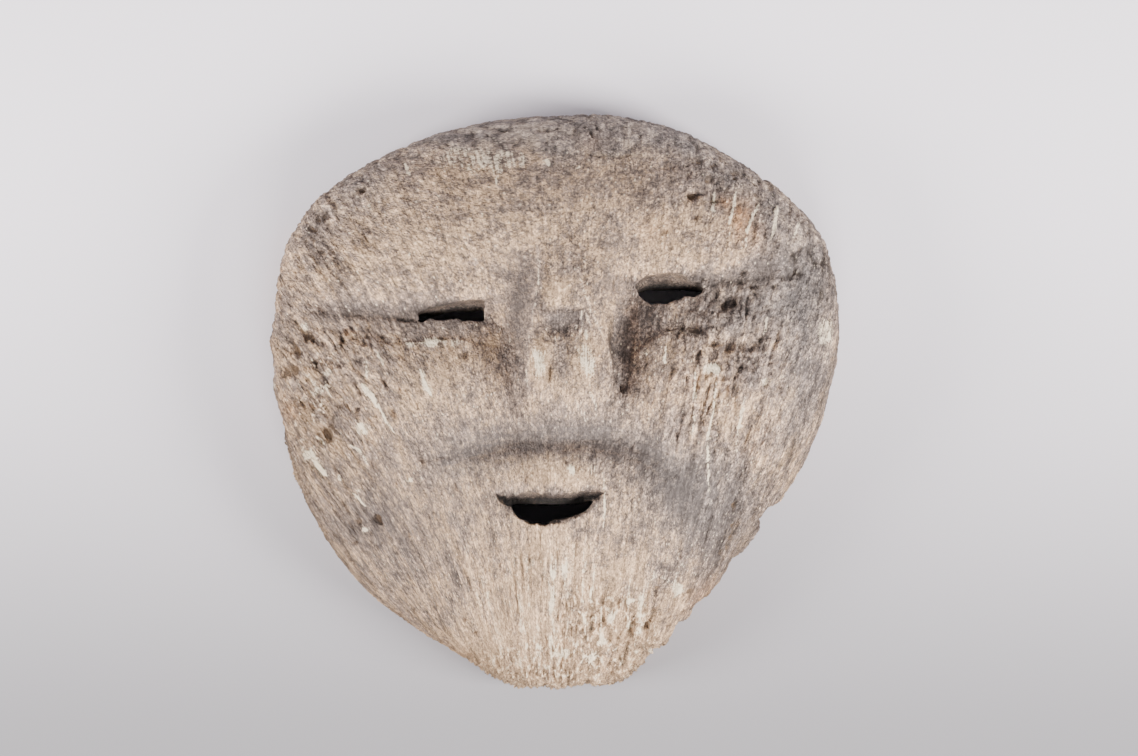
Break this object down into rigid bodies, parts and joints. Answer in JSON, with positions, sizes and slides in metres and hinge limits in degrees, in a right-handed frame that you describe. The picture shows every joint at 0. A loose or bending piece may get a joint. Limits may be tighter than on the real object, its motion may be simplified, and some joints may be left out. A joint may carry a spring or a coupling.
{
  "type": "carved wooden face mask",
  "caption": "Weathered hollow wooden face mask with slit eyes, wedge nose and open mouth, lying on its back rim",
  "frame": {"origin": "middle of the outline, on the flat plane of the back rim that the mask lies on", "axes": "+Z out of the face, +Y towards the crown, +X to the right of the face as it is looked at"},
  "size_m": [0.2111, 0.2133, 0.07],
  "materials": {
    "weathered_wood": "dry, grey, fibrous weathered wood, rough, with pale streaks and dark pits"
  },
  "bodies": {
    "root": {"carved_mask": "weathered_wood"}
  },
  "joints": []
}
